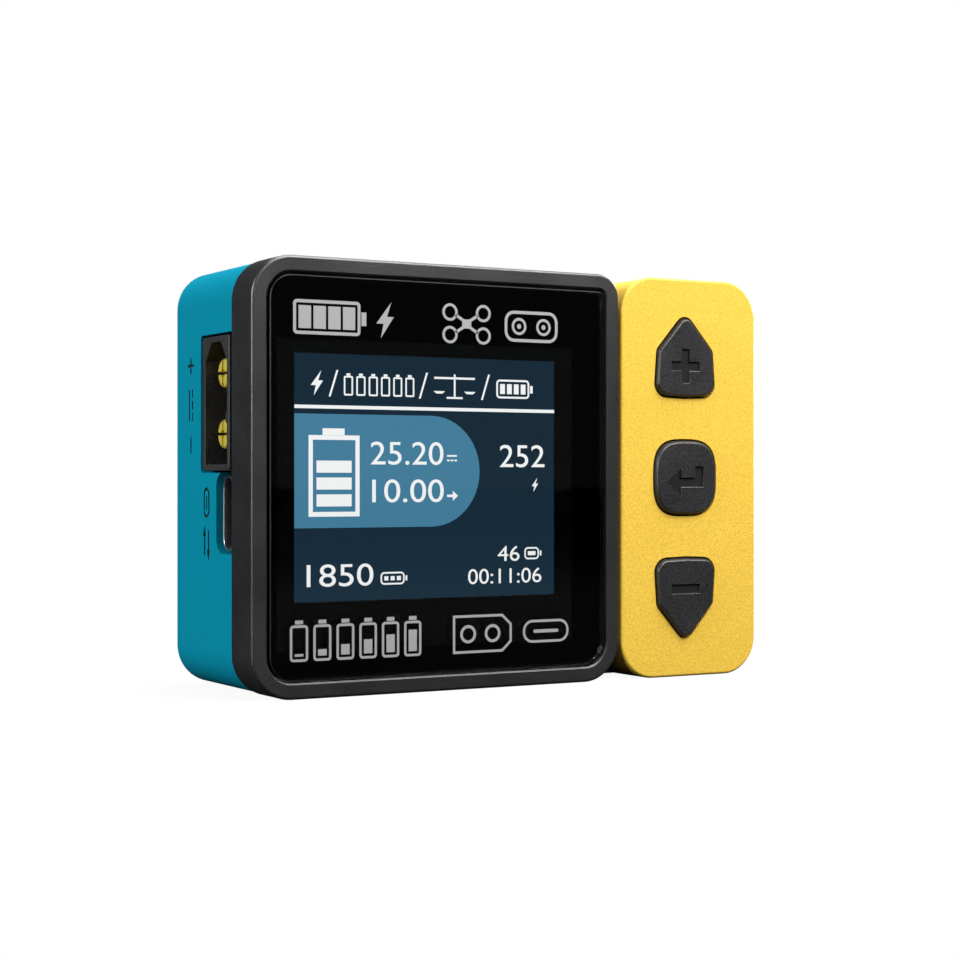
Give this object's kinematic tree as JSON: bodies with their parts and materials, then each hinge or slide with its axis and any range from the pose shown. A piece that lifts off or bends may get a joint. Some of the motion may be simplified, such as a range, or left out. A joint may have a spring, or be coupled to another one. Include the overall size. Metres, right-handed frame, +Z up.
{
  "type": "balance battery charger",
  "caption": "Pocket balance charger for model batteries: glass-fronted display bezel, housing with power inputs and rear fan, and an end cap with buttons, balance socket and output.",
  "frame": {"origin": "centre of the footprint of the standing charger, on the surface it stands on", "axes": "+X to the right along the longest side, +Y from the display to the back along the shortest side, +Z up"},
  "size_m": [0.0716, 0.0244, 0.051],
  "materials": {
    "bezel_plastic": "fine textured charcoal moulding with a bright soft edge",
    "teal_shell": "satin teal moulding with a fine grain",
    "yellow_shell": "satin warm yellow moulding with a fine grain",
    "cover_glass": "polished cover glass, printed black behind the border",
    "black_tape": "matt foam tape",
    "lcd_cell": "display cell behind a polariser",
    "white_plastic": "moulded white plastic",
    "sheet_steel": "tinned stamped sheet",
    "flex_film": "amber polyimide film",
    "cream_plastic": "natural nylon",
    "circuit_board": "green solder mask",
    "connector_nylon": "grained black nylon",
    "contact_brass": "gold-plated brass",
    "black_plastic": "moulded black plastic",
    "button_plastic": "fine textured dark grey moulding",
    "fan_plastic": "moulded black plastic",
    "magnet": "bonded ferrite",
    "shaft_steel": "ground steel",
    "bearing_bronze": "sintered bronze",
    "copper_winding": "enamelled copper",
    "screw_steel": "black zinc steel",
    "wire_insulation": "PVC insulation",
    "sink_aluminium": "sawn extrusion",
    "thermal_silicone": "filled silicone",
    "chip_resin": "moulded epoxy",
    "ferrite": "pressed iron powder",
    "can_aluminium": "drawn can",
    "ceramic_body": "glazed ceramic"
  },
  "bodies": {
    "case": {"front_bezel": "bezel_plastic", "left_housing": "teal_shell", "right_housing": "yellow_shell", "display_glass": "cover_glass", "glass_adhesive": "black_tape", "lcd_panel": "lcd_cell", "lcd_backlight": "white_plastic", "lcd_back_plate": "sheet_steel", "lcd_flex": "flex_film", "lcd_connector": "cream_plastic", "main_pcb": "circuit_board", "input_connector_housing": "connector_nylon", "input_connector_pins": "contact_brass", "output_connector_housing": "connector_nylon", "output_connector_sockets": "contact_brass", "usb_port_shell": "sheet_steel", "usb_port_tongue": "black_plastic", "balance_socket": "cream_plastic", "balance_pins": "contact_brass", "switch_bases": "black_plastic", "fan_frame": "fan_plastic", "fan_bearing": "bearing_bronze", "fan_stator": "copper_winding", "fan_screws": "screw_steel", "fan_connector": "cream_plastic", "fan_lead": "wire_insulation", "heat_sink": "sink_aluminium", "thermal_pad": "thermal_silicone", "mosfets": "chip_resin", "power_inductors": "ferrite", "capacitors": "can_aluminium", "control_chips": "chip_resin", "buzzer": "black_plastic", "input_fuse": "ceramic_body", "balance_resistors": "chip_resin", "case_screws": "screw_steel", "cap_standoffs": "contact_brass", "cap_screws": "screw_steel"},
    "fan": {"fan_rotor": "fan_plastic", "fan_magnet": "magnet", "fan_shaft": "shaft_steel"},
    "up_key": {"up_button": "button_plastic", "up_switch_plunger": "white_plastic"},
    "enter_key": {"enter_button": "button_plastic", "enter_switch_plunger": "white_plastic"},
    "down_key": {"down_button": "button_plastic", "down_switch_plunger": "white_plastic"}
  },
  "joints": [
    {"name": "fan_spin", "type": "hinge", "parent": "case", "child": "fan", "pos_m": [-0.007, 0.007, 0.0255], "axis": [0, 1, 0], "continuous": true},
    {"name": "up_press", "type": "slide", "parent": "case", "child": "up_key", "axis": [0, 1, 0], "range_m": [0, 0.0003], "stiffness_N_per_m": 1000},
    {"name": "enter_press", "type": "slide", "parent": "case", "child": "enter_key", "axis": [0, 1, 0], "range_m": [0, 0.0003], "stiffness_N_per_m": 1000},
    {"name": "down_press", "type": "slide", "parent": "case", "child": "down_key", "axis": [0, 1, 0], "range_m": [0, 0.0003], "stiffness_N_per_m": 1000}
  ]
}
